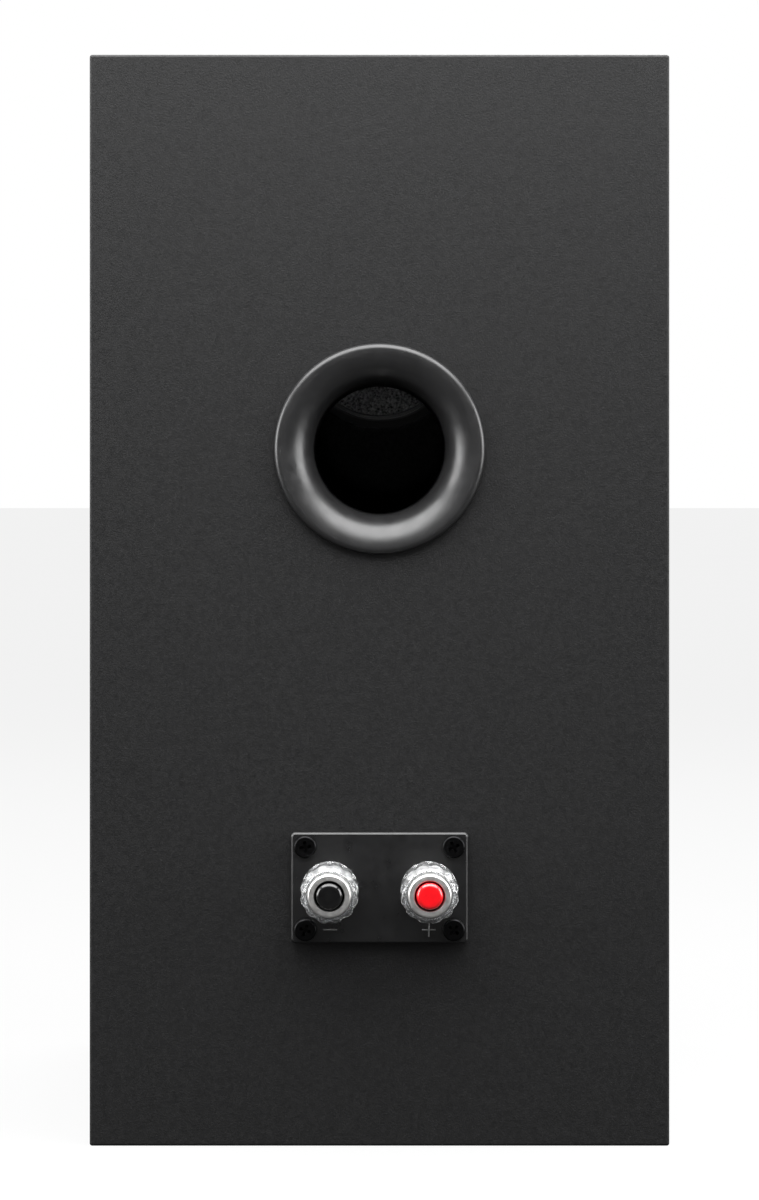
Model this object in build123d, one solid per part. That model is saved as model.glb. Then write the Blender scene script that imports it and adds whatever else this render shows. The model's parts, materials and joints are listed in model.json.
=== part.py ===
"""A compact two-way bookshelf speaker with a rear port and one pair of binding posts.

Units are millimetres. +Z is up, the front baffle faces -Y and the terminals face +Y.
The origin is at the bottom centre of the whole object's box.
Each separate piece is written to parts/NODE.step.
"""

import os
from math import cos, radians, sin, sqrt, tan

from build123d import *

os.makedirs("parts", exist_ok=True)

# ---------------------------------------------------------------- driving dimensions
CABINET_WIDTH = 178.0
CABINET_DEPTH = 230.0
CABINET_HEIGHT = 335.0
WALL = 15.0
BAFFLE = 18.0
EDGE_RADIUS = 0.8
SEAM_GROOVE = 0.7

BRACE_BOTTOM = 176.0
BRACE_THICKNESS = 12.0
BRACE_RIM = 20.0

PORT_Z = 214.0
PORT_BORE_R = 20.4
PORT_LIP_R = 32.4
PORT_DEPTH = 60.0

PLATE_Z = 79.6
PLATE_SIZE = (54.0, 33.8, 3.0)
PLATE_SCREW_PITCH = (45.4, 25.4)
PLATE_GASKET = 0.8
POST_PITCH = 30.2
POST_BORE_R = 2.0

WOOFER_Z = 110.0
WOOFER_FRAME_R = 75.0
TWEETER_Z = 254.0
TWEETER_PLATE_R = 52.0
TWEETER_MAGNET_R = 27.0

SOCKET_PITCH = (154.0, 299.0)
SOCKET_BORE_R = 2.5

BOARD_SIZE = (104.0, 76.0, 1.6)
BOARD_CENTRE_Y = -2.0
SPACER_HEIGHT = 6.0

LEAD_R = 1.1

# ---------------------------------------------------------------- places along Y
SURROUND_STAND = 2.0          # the surround's roll stands this far out of the baffle
CAP_FRONT = 23.6              # cap's front face, measured out from the terminal plate
STOPPER_FRONT = 24.8
REAR_STAND = PLATE_GASKET + PLATE_SIZE[2] + STOPPER_FRONT
REAR_Y = (CABINET_DEPTH + SURROUND_STAND - REAR_STAND) / 2
FRONT_Y = REAR_Y - CABINET_DEPTH
PLATE_Y = REAR_Y + PLATE_GASKET + PLATE_SIZE[2]
INNER_REAR_Y = REAR_Y - WALL
INNER_FRONT_Y = FRONT_Y + BAFFLE
INNER_X = CABINET_WIDTH / 2 - WALL
FLOOR_Z = WALL
CEILING_Z = CABINET_HEIGHT - WALL


# ---------------------------------------------------------------- helpers
def write(name, *solids):
    """Writes one node as a group of separate solids."""
    loose = [s for shape in solids for s in shape.solids()]
    export_step(loose[0] if len(loose) == 1 else Compound(children=loose), f"parts/{name}.step")


def outline(*points):
    """A closed polygon with radius along X and depth along Y."""
    return make_face(Polyline(*points, close=True))


def spun(face, y=0.0, x=0.0, z=0.0, sense=1):
    """Turns an outline about an axis along Y. Depth grows towards +Y, or -Y if sense is -1."""
    solid = revolve(face, Axis.Y)
    if sense < 0:
        solid = mirror(solid, Plane.XZ)
    return Pos(x, y, z) * solid


def ring(r_in, r_out, start, end, y=0.0, x=0.0, z=0.0, sense=1):
    """A plain turned ring or disc between two depths."""
    return spun(outline((r_in, start), (r_out, start), (r_out, end), (r_in, end)), y, x, z, sense)


def rod(r, start, end, y=0.0, x=0.0, z=0.0):
    """A plain cylinder along Y between two depths."""
    return Pos(x, y + (start + end) / 2, z) * Rot(90, 0, 0) * Cylinder(r, end - start)


def block(x, y, z):
    """A box from its (low, high) pairs."""
    sizes = [high - low for low, high in (x, y, z)]
    centre = [(high + low) / 2 for low, high in (x, y, z)]
    return Pos(*centre) * Box(*sizes)


def circle_points(count, radius, first=0.0):
    """(x, z) of points evenly round a circle, starting at an angle in degrees."""
    angles = [radians(first + 360 * i / count) for i in range(count)]
    return [(radius * cos(a), radius * sin(a)) for a in angles]


def corners(pitch):
    """The four corners of a rectangle of this pitch."""
    return [(sx * pitch[0] / 2, sz * pitch[1] / 2) for sz in (1, -1) for sx in (-1, 1)]


def threaded(r_major, start, end, pitch=1.0, depth=0.35):
    """The outer edge of a threaded stretch, as annular ridges from start to end."""
    count = int((end - start) / pitch)
    points = [(r_major - depth, start)]
    for i in range(count):
        crest = start + (i + 0.5) * pitch
        points += [(r_major, crest), (r_major - depth, crest + pitch / 2)]
    return points


def hex_nut(across_flats, bore_r, start, end, y, x, z):
    """A hexagon nut with its axis along Y."""
    body = extrude(RegularPolygon(across_flats / 2, 6, major_radius=False), end - start)
    body = Pos(x, y + start, z) * Rot(-90, 0, 0) * body
    return body - rod(bore_r, start - 1, end + 1, y, x, z)


def pan_screw(head_r, head_height, shank_r, length, twist):
    """A cross-recess pan-head screw: its head's seat is at depth 0 and the shank runs to -Y."""
    crown = 0.7
    tip = 2.5
    head = make_face(
        [
            Line((0, 0), (head_r, 0)),
            Line((head_r, 0), (head_r, head_height - crown)),
            RadiusArc((head_r, head_height - crown), (head_r - crown, head_height), -crown),
            Line((head_r - crown, head_height), (0, head_height)),
            Line((0, head_height), (0, 0)),
        ]
    )
    edge = threaded(shank_r, tip - length, -1.0, 1.25, 0.3)
    shank = outline((0, -length), (0.4, -length), *edge, (shank_r - 0.3, 0), (0, 0))
    arm = 0.55 * head_r
    cross = Box(2 * arm, 0.9, head_height) + Box(0.9, 2 * arm, head_height)
    taper = Cone(0.5 * arm, 1.1 * arm, head_height)
    recess = Pos(0, head_height * 0.75, 0) * Rot(-90, 0, 0) * (cross & taper)
    return Rot(0, twist, 0) * (revolve(head, Axis.Y) + revolve(shank, Axis.Y) - recess)


# ---------------------------------------------------------------- cabinet
BOARD_BOTTOM = FLOOR_Z + SPACER_HEIGHT
BOARD_TOP = BOARD_BOTTOM + BOARD_SIZE[2]
BOARD_HOLES = corners((BOARD_SIZE[0] - 9, BOARD_SIZE[1] - 9))
BOARD_PILOT_DEPTH = 9.0


def cabinet_block():
    """The outer shape of the whole box, with eased edges."""
    box = block(
        (-CABINET_WIDTH / 2, CABINET_WIDTH / 2),
        (FRONT_Y, REAR_Y),
        (0, CABINET_HEIGHT),
    )
    return fillet(box.edges(), EDGE_RADIUS)


def wrap_panels(whole):
    """The four mitred panels between the baffle and the rear panel: left, right, top, bottom."""
    w, h = CABINET_WIDTH / 2, CABINET_HEIGHT
    inner = [(-INNER_X, FLOOR_Z), (INNER_X, FLOOR_Z), (INNER_X, CEILING_Z), (-INNER_X, CEILING_Z)]
    outer = [(-w, 0), (w, 0), (w, h), (-w, h)]
    names = {"bottom_panel": 0, "right_side_panel": 1, "top_panel": 2, "left_side_panel": 3}
    length = INNER_REAR_Y - INNER_FRONT_Y
    for name, i in names.items():
        j = (i + 1) % 4
        mitred = Plane.XZ * make_face(Polyline(outer[i], outer[j], inner[j], inner[i], close=True))
        # Plane.XZ extrudes towards -Y, so the panel starts at the rear
        panel = whole & (Pos(0, INNER_REAR_Y, 0) * extrude(mitred, length))
        if name == "bottom_panel":
            for x, y in BOARD_HOLES:
                panel -= Pos(x, BOARD_CENTRE_Y + y, FLOOR_Z) * Cylinder(1.65, 2 * BOARD_PILOT_DEPTH)
        yield name, panel


def rear_panel(whole):
    """Full-face rear panel with the port hole, the terminal slot and four pilot holes."""
    panel = whole & block((-200, 200), (INNER_REAR_Y, REAR_Y + 1), (-1, 400))
    panel -= rod(29.6, -1, WALL + 1, INNER_REAR_Y, 0, PORT_Z)
    slot = extrude(Plane.XZ * SlotOverall(POST_PITCH + 17, 17), WALL + 2, both=True)
    panel -= Pos(0, REAR_Y, PLATE_Z) * slot
    for x, z in corners(PLATE_SCREW_PITCH):
        panel -= rod(1.75, -12, 1, REAR_Y, x, PLATE_Z + z)
    return panel


WOOFER_CUTOUT_R = 65.0
WOOFER_REBATE = 4.0
WOOFER_SCREWS = circle_points(6, 69.0, 30)
TWEETER_CUTOUT_R = 29.0
TWEETER_REBATE = 3.5
TWEETER_SCREWS = circle_points(4, 46.0, 45)
SOCKET_DEPTH = 9.0


def front_baffle(whole):
    """Front baffle with rebated driver cut-outs, pilot holes and grille sockets."""
    baffle = whole & block((-200, 200), (FRONT_Y - 1, INNER_FRONT_Y), (-1, 400))
    back_edges = baffle.faces().sort_by(Axis.Y)[-1].outer_wire().edges()
    baffle = chamfer(back_edges, SEAM_GROOVE)
    baffle -= rod(WOOFER_FRAME_R + 0.4, -1, WOOFER_REBATE, FRONT_Y, 0, WOOFER_Z)
    baffle -= rod(WOOFER_CUTOUT_R, -1, BAFFLE + 1, FRONT_Y, 0, WOOFER_Z)
    baffle -= rod(TWEETER_PLATE_R + 0.4, -1, TWEETER_REBATE, FRONT_Y, 0, TWEETER_Z)
    baffle -= rod(TWEETER_CUTOUT_R, -1, BAFFLE + 1, FRONT_Y, 0, TWEETER_Z)
    for x, z in WOOFER_SCREWS:
        baffle -= rod(1.85, 0, 15, FRONT_Y, x, WOOFER_Z + z)
    for x, z in TWEETER_SCREWS:
        baffle -= rod(1.65, 0, 15, FRONT_Y, x, TWEETER_Z + z)
    for x, z in corners(SOCKET_PITCH):
        baffle -= rod(4.0, -1, SOCKET_DEPTH, FRONT_Y, x, CABINET_HEIGHT / 2 + z)
    return baffle


def window_brace():
    """Horizontal brace with a large window for the port, the leads and the air."""
    frame = block(
        (-INNER_X, INNER_X),
        (INNER_FRONT_Y, INNER_REAR_Y),
        (BRACE_BOTTOM, BRACE_BOTTOM + BRACE_THICKNESS),
    )
    window = block(
        (-INNER_X + BRACE_RIM, INNER_X - BRACE_RIM),
        (INNER_FRONT_Y + BRACE_RIM, INNER_REAR_Y - BRACE_RIM),
        (BRACE_BOTTOM - 1, BRACE_BOTTOM + BRACE_THICKNESS + 1),
    )
    return frame - fillet(window.edges().filter_by(Axis.Z), 14)


def grille_sockets():
    """Four moulded cups in the baffle's corners that take a grille's pegs."""
    cup = outline(
        (0, SOCKET_DEPTH), (3.95, SOCKET_DEPTH), (3.95, 0), (5.2, 0), (4.8, -0.6),
        (SOCKET_BORE_R + 0.4, -0.6), (SOCKET_BORE_R, -0.2), (SOCKET_BORE_R, SOCKET_DEPTH - 1.2),
        (0, SOCKET_DEPTH - 1.2),
    )
    return [spun(cup, FRONT_Y, x, CABINET_HEIGHT / 2 + z) for x, z in corners(SOCKET_PITCH)]


def wall_wadding():
    """Felt sheets on the inner walls and on the back of the baffle round the tweeter."""
    upper = BRACE_BOTTOM + BRACE_THICKNESS
    thick = 10.0
    y = (INNER_FRONT_Y + 6, INNER_REAR_Y - 4)
    sheets = [
        block(x, y, (upper, CEILING_Z - thick))
        for x in ((-INNER_X, -INNER_X + thick), (INNER_X - thick, INNER_X))
    ]
    sheets.append(block((-INNER_X, INNER_X), y, (CEILING_Z - thick, CEILING_Z)))
    lower_y = (INNER_FRONT_Y + 50, INNER_REAR_Y - 4)
    for x in ((-INNER_X, -INNER_X + 8), (INNER_X - 8, INNER_X)):
        sheets.append(block(x, lower_y, (FLOOR_Z + 14, BRACE_BOTTOM - 4)))
    front = block(
        (-INNER_X, INNER_X), (INNER_FRONT_Y, INNER_FRONT_Y + 5), (upper, CEILING_Z),
    )
    front -= rod(TWEETER_CUTOUT_R + 1.5, -1, 20, INNER_FRONT_Y - 1, 0, TWEETER_Z)
    front -= block((20, 38), (INNER_FRONT_Y - 1, INNER_FRONT_Y + 9), (TWEETER_Z - 12, TWEETER_Z + 12))
    return sheets + [front]


# ---------------------------------------------------------------- port
PORT_GASKET = 0.6
PORT_THROAT = 7.6             # depth where the flare meets the straight bore
PORT_STAND = 3.2              # how far the flange stands out of the rear panel


def port_flare():
    """Moulded mouth: a quarter-ellipse flare, a rounded lip and a socket for the tube."""
    crest_r = 30.6
    lip = PORT_LIP_R - crest_r
    radial, axial = crest_r - PORT_BORE_R, PORT_THROAT + PORT_STAND
    flare = EllipticalCenterArc((crest_r, PORT_THROAT), radial, axial, 180, arc_size=90)
    profile = make_face(
        [
            flare,
            RadiusArc((crest_r, -PORT_STAND), (PORT_LIP_R, -PORT_STAND + lip), lip),
            Polyline(
                (PORT_LIP_R, -PORT_STAND + lip), (PORT_LIP_R, -PORT_GASKET), (29.2, -PORT_GASKET),
                (27.4, 1.2), (24.4, 6.0), (24.4, 22.0), (22.4, 22.0), (22.4, PORT_THROAT),
                (PORT_BORE_R, PORT_THROAT),
            ),
        ]
    )
    return spun(profile, REAR_Y, 0, PORT_Z, sense=-1)


def port_tube():
    """Straight tube glued into the flare's socket."""
    return ring(PORT_BORE_R, 22.3, PORT_THROAT, PORT_DEPTH, REAR_Y, 0, PORT_Z, sense=-1)


def port_gasket():
    """Foam ring under the flange."""
    return ring(29.8, 31.8, -PORT_GASKET, 0, REAR_Y, 0, PORT_Z, sense=-1)


# ---------------------------------------------------------------- terminals
POSTS = {"minus": POST_PITCH / 2, "plus": -POST_PITCH / 2}
MARK_Z = -12.8
MARK_LENGTH = 4.2
MARK_WIDTH = 0.5
MARK_HEIGHT = 0.3


def mark_bar(x, width, height):
    """One moulded bar of a polarity mark, proud of the plate, with sloping edges."""
    bar = chamfer(Box(width, 2 * MARK_HEIGHT, height).faces().sort_by(Axis.Y)[-1].edges(), 0.2)
    return Pos(x, PLATE_Y, PLATE_Z + MARK_Z) * bar


def terminal_plate():
    """Flat plate with post holes, screw holes and raised polarity marks."""
    width, height, thick = PLATE_SIZE
    plate = Pos(0, PLATE_Y - thick / 2, PLATE_Z) * Box(width, thick, height)
    plate = fillet(plate.edges().filter_by(Axis.Y), 1.2)
    plate = chamfer(plate.faces().sort_by(Axis.Y)[-1].edges(), 0.5)
    for x in POSTS.values():
        plate += mark_bar(x, MARK_LENGTH, MARK_WIDTH)
        plate -= rod(5.0, -thick - 1, 1, PLATE_Y, x, PLATE_Z)
    plate += mark_bar(POSTS["plus"], MARK_WIDTH, MARK_LENGTH)
    for x, z in corners(PLATE_SCREW_PITCH):
        plate -= rod(2.0, -thick - 1, 1, PLATE_Y, x, PLATE_Z + z)
    return plate


def terminal_gasket():
    """Foam sheet under the plate, open over the rear panel's slot."""
    width, height, _ = PLATE_SIZE
    sheet = block((-width / 2 + 0.6, width / 2 - 0.6), (REAR_Y, REAR_Y + PLATE_GASKET),
                  (PLATE_Z - height / 2 + 0.6, PLATE_Z + height / 2 - 0.6))
    sheet -= Pos(0, REAR_Y, PLATE_Z) * extrude(Plane.XZ * SlotOverall(POST_PITCH + 17, 17), 5, both=True)
    for x, z in corners(PLATE_SCREW_PITCH):
        sheet -= rod(2.0, -1, 2, REAR_Y, x, PLATE_Z + z)
    return sheet


def terminal_screws():
    """Four cross-recess screws that hold the plate."""
    twists = (25, 8, 52, 70)
    return [
        Pos(x, PLATE_Y, PLATE_Z + z) * pan_screw(3.45, 2.3, 1.7, 14.0, twist)
        for (x, z), twist in zip(corners(PLATE_SCREW_PITCH), twists)
    ]


BUSH = 2.6                    # outer bush's thickness
BUSH_R = 8.0
COLLAR = (BUSH, 4.4)          # the stud's metal collar
NOSE = (15.5, 19.5)           # the stud's plain end, which the stopper covers
SOCKET_FLOOR = 1.0
WIRE_HOLE = (1.6, 7.6)        # radius and place of the bare-wire hole
WASHER = (4.5, 5.3)
CORE_START = 5.4
CAVITY_START = 15.8
CAVITY_R = 4.6
CORE_R = 5.75
COLLAR_R, COLLAR_SHOULDER = 6.6, 0.8
COLLAR_START = 20.7
JACKET_START = 5.7
KNURL_END = 18.4
KNURL_R = (8.45, 8.9)
KNURL_LOBES = 12
LOBE_SHARE = 0.72             # a lobe's share of each turn; a hollow has the rest
FLANGE_R = 8.75
FLANGE_END = 7.0


def post_stud(x):
    """Hollow threaded stud with a collar, a bare-wire hole and a plain nose."""
    thread = threaded(3.5, COLLAR[1], 15.4)
    rear_thread = threaded(2.5, -16.0, -5.0, 0.8, 0.25)
    stud = outline(
        (0, -16.0), *rear_thread, (2.5, -5.0), (2.5, COLLAR[0]), (5.9, COLLAR[0]), (6.2, COLLAR[0] + 0.3),
        (6.2, COLLAR[1] - 0.3), (5.9, COLLAR[1]), *thread, (2.9, NOSE[0]), (2.9, NOSE[1] - 0.4),
        (2.5, NOSE[1]), (POST_BORE_R, NOSE[1]), (POST_BORE_R, SOCKET_FLOOR), (0, SOCKET_FLOOR),
    )
    wire_hole = Pos(x, PLATE_Y + WIRE_HOLE[1], PLATE_Z) * Cylinder(WIRE_HOLE[0], 12)
    return spun(stud, PLATE_Y, x, PLATE_Z) - wire_hole


def post_bushes():
    """The clear outer bush of each post, with a spigot through the plate."""
    bush = outline(
        (2.6, -2.9), (4.9, -2.9), (4.9, 0), (BUSH_R, 0),
        (BUSH_R, BUSH - 0.4), (BUSH_R - 0.4, BUSH), (2.6, BUSH),
    )
    return [spun(bush, PLATE_Y, x, PLATE_Z) for x in POSTS.values()]


def post_inner_washers():
    """The insulating washer behind the plate on each post."""
    return [ring(2.6, 7.0, -5.0, -3.0, PLATE_Y, x, PLATE_Z) for x in POSTS.values()]


def post_nuts():
    """Two nuts behind the plate on each post."""
    return [
        hex_nut(8.0, 2.55, start, start + 4.0, PLATE_Y, x, PLATE_Z)
        for x in POSTS.values()
        for start in (-9.0, -13.8)
    ]


TAG_DROP = 6.2
TAG_END = -23.0


def solder_tags():
    """A ring tag between the nuts, bent forward into the cabinet, for each post."""
    for x in POSTS.values():
        washer = ring(2.6, 4.6, -9.8, -9.0, PLATE_Y, x, PLATE_Z)
        across, low = (x - 2, x + 2), PLATE_Z - TAG_DROP - 0.8
        leg = block(across, (PLATE_Y - 9.8, PLATE_Y - 9.0), (low, PLATE_Z - 3.6))
        tab = block(across, (PLATE_Y + TAG_END, PLATE_Y - 9.0), (low, low + 0.8))
        yield washer + leg + tab


def clamp_washer(x):
    """Loose washer under the cap that clamps a bare wire or a spade."""
    return ring(3.7, 6.0, *WASHER, PLATE_Y, x, PLATE_Z)


def cap_core(x):
    """Plated metal insert of the cap: clears the stud's thread, holds the stopper, ends in a collar."""
    bend = CAP_FRONT - COLLAR_SHOULDER
    core = make_face(
        [
            Polyline(
                (COLLAR_R, bend), (COLLAR_R, COLLAR_START), (CORE_R, COLLAR_START),
                (CORE_R, JACKET_START), (6.4, JACKET_START), (6.4, CORE_START), (3.6, CORE_START),
                (3.6, CAVITY_START), (CAVITY_R, CAVITY_START), (CAVITY_R, CAP_FRONT),
                (COLLAR_R - COLLAR_SHOULDER, CAP_FRONT),
            ),
            RadiusArc((COLLAR_R, bend), (COLLAR_R - COLLAR_SHOULDER, CAP_FRONT), -COLLAR_SHOULDER),
        ]
    )
    return spun(core, PLATE_Y, x, PLATE_Z)


def lobed_face():
    """The knurl's cross-section: broad round lobes with narrow hollows, one of them at the bottom."""
    valley, peak = KNURL_R
    meeting = (2 * valley + peak) / 3
    turn = 360 / KNURL_LOBES
    half_lobe = turn * LOBE_SHARE / 2

    def at(radius, angle):
        return (radius * cos(radians(angle)), radius * sin(radians(angle)))

    edges = []
    for i in range(KNURL_LOBES):
        a = (i + 0.5) * turn
        lobe_end, next_lobe = a + half_lobe, a + turn - half_lobe
        edges.append(ThreePointArc(at(meeting, a - half_lobe), at(peak, a), at(meeting, lobe_end)))
        edges.append(
            ThreePointArc(at(meeting, lobe_end), at(valley, a + turn / 2), at(meeting, next_lobe))
        )
    return make_face(edges)


def cap_jacket(x):
    """Clear jacket of the cap: round flange, lobed skirt and taper, moulded over the core."""
    inner, beyond = CORE_R + 0.05, KNURL_R[1] + 0.2
    blank = outline(
        (inner, JACKET_START), (beyond, JACKET_START), (beyond, KNURL_END), (7.4, KNURL_END + 1.9),
        (7.2, COLLAR_START - 0.05), (inner, COLLAR_START - 0.05),
    )
    knurl = extrude(lobed_face(), CAP_FRONT - FLANGE_END)
    knurl = Pos(x, PLATE_Y + FLANGE_END, PLATE_Z) * Rot(-90, 0, 0) * knurl
    flange = outline(
        (inner, JACKET_START), (FLANGE_R - 0.5, JACKET_START), (FLANGE_R, JACKET_START + 0.5),
        (FLANGE_R, FLANGE_END), (inner, FLANGE_END),
    )
    return (knurl & spun(blank, PLATE_Y, x, PLATE_Z)) + spun(flange, PLATE_Y, x, PLATE_Z)


STOPPER_START = 16.1
STOPPER_R = 4.0


def stopper(x):
    """Push-in plug: a rounded head on a hollow skirt that covers the stud's nose."""
    crown = 1.25
    profile = make_face(
        [
            Polyline(
                (0, STOPPER_FRONT), (0, NOSE[1] + 0.3), (3.05, NOSE[1] + 0.3), (3.05, STOPPER_START),
                (CAVITY_R - 0.05, STOPPER_START), (CAVITY_R - 0.05, STOPPER_START + 1.6),
                (STOPPER_R, STOPPER_START + 2.1), (STOPPER_R, STOPPER_FRONT - crown),
            ),
            RadiusArc((STOPPER_R, STOPPER_FRONT - crown), (STOPPER_R - crown, STOPPER_FRONT), -crown),
            Line((STOPPER_R - crown, STOPPER_FRONT), (0, STOPPER_FRONT)),
        ]
    )
    return spun(profile, PLATE_Y, x, PLATE_Z)


# ---------------------------------------------------------------- woofer
CONE_RIM_R, CONE_NECK_R = 48.2, 13.25
CONE_SHOULDER_R = 45.5
CONE_RIM, CONE_NECK = 3.0, 23.0       # depths of the cone's front surface
ROLL_R, ROLL_CENTRE_R = 5.0, 53.0
SKIN = 0.8
DUST_CAP_R = 18.0
DUST_CAP_TOP = 13.6
BASKET_BACK = 37.0
SPIDER_DEPTH = 30.75


def cone_front(radius):
    """Depth of the cone's front surface at a radius."""
    share = (CONE_SHOULDER_R - radius) / (CONE_SHOULDER_R - CONE_NECK_R)
    return CONE_RIM + share * (CONE_NECK - CONE_RIM)


def woofer_basket():
    """Pressed frame: flange, surround seat, windowed wall, spider ledge and rear ring."""
    back = BASKET_BACK
    basket = spun(
        outline(
            (57.5, 3.0), (63.0, 3.0), (63.0, -0.7), (63.8, -1.5), (74.2, -1.5), (WOOFER_FRAME_R, -0.7),
            (WOOFER_FRAME_R, 3.0), (64.5, 3.0), (64.5, 6.0), (60.0, 6.0), (60.0, 12.0), (45.5, back - 3),
            (45.5, back), (21.0, back), (21.0, back - 3), (36.0, back - 3), (36.0, 31.0), (44.6, 31.0),
            (57.5, 11.5),
        ),
        FRONT_Y, 0, WOOFER_Z,
    )
    window = fillet(Box(24, 15.5, 30).edges().filter_by(Axis.Z), 3)
    for i in range(6):
        basket -= Pos(0, FRONT_Y + 21.5, WOOFER_Z) * Rot(0, 60 * i, 0) * Pos(0, 0, 57) * window
    for x, z in WOOFER_SCREWS:
        basket -= rod(2.1, -2, 4, FRONT_Y, x, WOOFER_Z + z)
        basket -= rod(3.9, -2, 0.5, FRONT_Y, x, WOOFER_Z + z)
    return basket


def woofer_gasket():
    """Foam ring between the basket's flange and the rebate."""
    gasket = ring(65.6, 74.4, 3.0, WOOFER_REBATE, FRONT_Y, 0, WOOFER_Z)
    for x, z in WOOFER_SCREWS:
        gasket -= rod(2.1, 2, 5, FRONT_Y, x, WOOFER_Z + z)
    return gasket


def woofer_screws():
    """Six screws that hold the basket."""
    turned_in = Rot(180, 0, 0)
    return [
        Pos(x, FRONT_Y + 0.5, WOOFER_Z + z) * turned_in * pan_screw(3.6, 2.0, 1.75, 14.0, 17 * i)
        for i, (x, z) in enumerate(WOOFER_SCREWS)
    ]


def half_roll(centre_r, depth, r_out, r_in):
    """Cross-section of a half-round roll that bulges towards the front."""
    whole = Pos(centre_r, depth) * (Circle(r_out) - Circle(r_in))
    return whole & (Pos(centre_r, depth - r_out / 2) * Rectangle(3 * r_out, r_out))


def woofer_surround():
    """Rubber half-roll with a landing on the basket's seat and one on the cone's rim."""
    roll = half_roll(ROLL_CENTRE_R, CONE_RIM, ROLL_R, ROLL_R - SKIN)
    outer = Pos((57.2 + 62.8) / 2, CONE_RIM - SKIN / 2) * Rectangle(62.8 - 57.2, SKIN)
    inner = Pos((45.7 + 48.8) / 2, CONE_RIM - SKIN / 2) * Rectangle(48.8 - 45.7, SKIN)
    return spun(roll + outer + inner, FRONT_Y, 0, WOOFER_Z)


def woofer_cone():
    """Straight-sided cone with a flat glue rim."""
    cone = outline(
        (CONE_RIM_R, CONE_RIM), (CONE_SHOULDER_R, CONE_RIM), (CONE_NECK_R, CONE_NECK),
        (CONE_NECK_R, CONE_NECK + 1.1), (CONE_SHOULDER_R, CONE_RIM + SKIN), (CONE_RIM_R, CONE_RIM + SKIN),
    )
    return spun(cone, FRONT_Y, 0, WOOFER_Z)


def woofer_dust_cap():
    """Domed cap glued on the cone's front surface."""
    thick = 0.7
    inner_r = DUST_CAP_R - 1.0
    edge, inner_edge = cone_front(DUST_CAP_R), cone_front(inner_r)

    def dome(top, radius, rim):
        height = rim - top
        curve = (radius**2 + height**2) / (2 * height)
        middle = radius / 2
        return (middle, top + curve - sqrt(curve**2 - middle**2))

    inner_top = DUST_CAP_TOP + thick
    profile = make_face(
        [
            ThreePointArc((0, DUST_CAP_TOP), dome(DUST_CAP_TOP, DUST_CAP_R, edge), (DUST_CAP_R, edge)),
            Line((DUST_CAP_R, edge), (inner_r, inner_edge)),
            ThreePointArc((inner_r, inner_edge), dome(inner_top, inner_r, inner_edge), (0, inner_top)),
            Line((0, inner_top), (0, DUST_CAP_TOP)),
        ]
    )
    return spun(profile, FRONT_Y, 0, WOOFER_Z)


def woofer_voice_coil():
    """Former with its winding, which hangs in the magnet's gap."""
    coil = outline(
        (12.75, CONE_NECK), (13.2, CONE_NECK), (13.2, 37.5), (13.9, 37.5), (13.9, 46.0), (12.75, 46.0),
    )
    return spun(coil, FRONT_Y, 0, WOOFER_Z)


def woofer_spider():
    """Corrugated suspension between the former and the basket's ledge."""
    pitch, half = 3.2, 0.25
    first = 14.6 + pitch / 2
    profile = Pos((13.25 + 14.85) / 2, SPIDER_DEPTH) * Rectangle(14.85 - 13.25, 2 * half)
    for i in range(7):
        centre = first + i * pitch
        arch = half_roll(centre, SPIDER_DEPTH, pitch / 2 + half, pitch / 2 - half)
        if i % 2:
            arch = Pos(0, 2 * SPIDER_DEPTH) * mirror(arch, Plane.XZ)
        profile += arch
    last = first + 6.5 * pitch - half
    profile += Pos((last + 44.0) / 2, SPIDER_DEPTH) * Rectangle(44.0 - last, 2 * half)
    return spun(profile, FRONT_Y, 0, WOOFER_Z)


def woofer_motor():
    """Top plate, ferrite ring and back plate with its vented pole."""
    y, z = FRONT_Y, WOOFER_Z
    yield "woofer_top_plate", ring(14.4, 36.0, BASKET_BACK, 41.0, y, 0, z)
    yield "woofer_magnet", ring(19.0, 41.0, 41.0, 55.0, y, 0, z)
    pole = outline(
        (4.0, 37.5), (12.25, 37.5), (12.25, 55.0),
        (36.0, 55.0), (36.0, 59.0), (35.0, 60.0), (4.0, 60.0),
    )
    yield "woofer_back_plate", spun(pole, y, 0, z)


# ---------------------------------------------------------------- tweeter
DOME_R, DOME_BASE, DOME_TOP = 12.7, 8.6, 3.4
TWEETER_BACK = 24.0


def tweeter_faceplate():
    """Moulded plate with a shallow waveguide and a boss for the motor."""
    throat = (16.2, 6.6)
    profile = make_face(
        [
            Line((16.2, 8.6), throat),
            ThreePointArc(throat, (24.5, 1.3), (38.0, -1.0)),
            Polyline(
                (38.0, -1.0), (51.2, -1.0), (TWEETER_PLATE_R, -0.2), (TWEETER_PLATE_R, TWEETER_REBATE),
                (28.0, TWEETER_REBATE), (28.0, 9.0), (20.0, 9.0), (20.0, 8.6), (16.2, 8.6),
            ),
        ]
    )
    plate = spun(profile, FRONT_Y, 0, TWEETER_Z)
    for x, z in TWEETER_SCREWS:
        plate -= rod(1.9, -2, 4, FRONT_Y, x, TWEETER_Z + z)
        plate -= rod(3.4, -2, 0.9, FRONT_Y, x, TWEETER_Z + z)
    return plate


def tweeter_screws():
    """Four screws that hold the faceplate."""
    return [
        Pos(x, FRONT_Y + 0.9, TWEETER_Z + z) * Rot(180, 0, 0) * pan_screw(3.1, 1.9, 1.55, 13.5, 23 * i)
        for i, (x, z) in enumerate(TWEETER_SCREWS)
    ]


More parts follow.
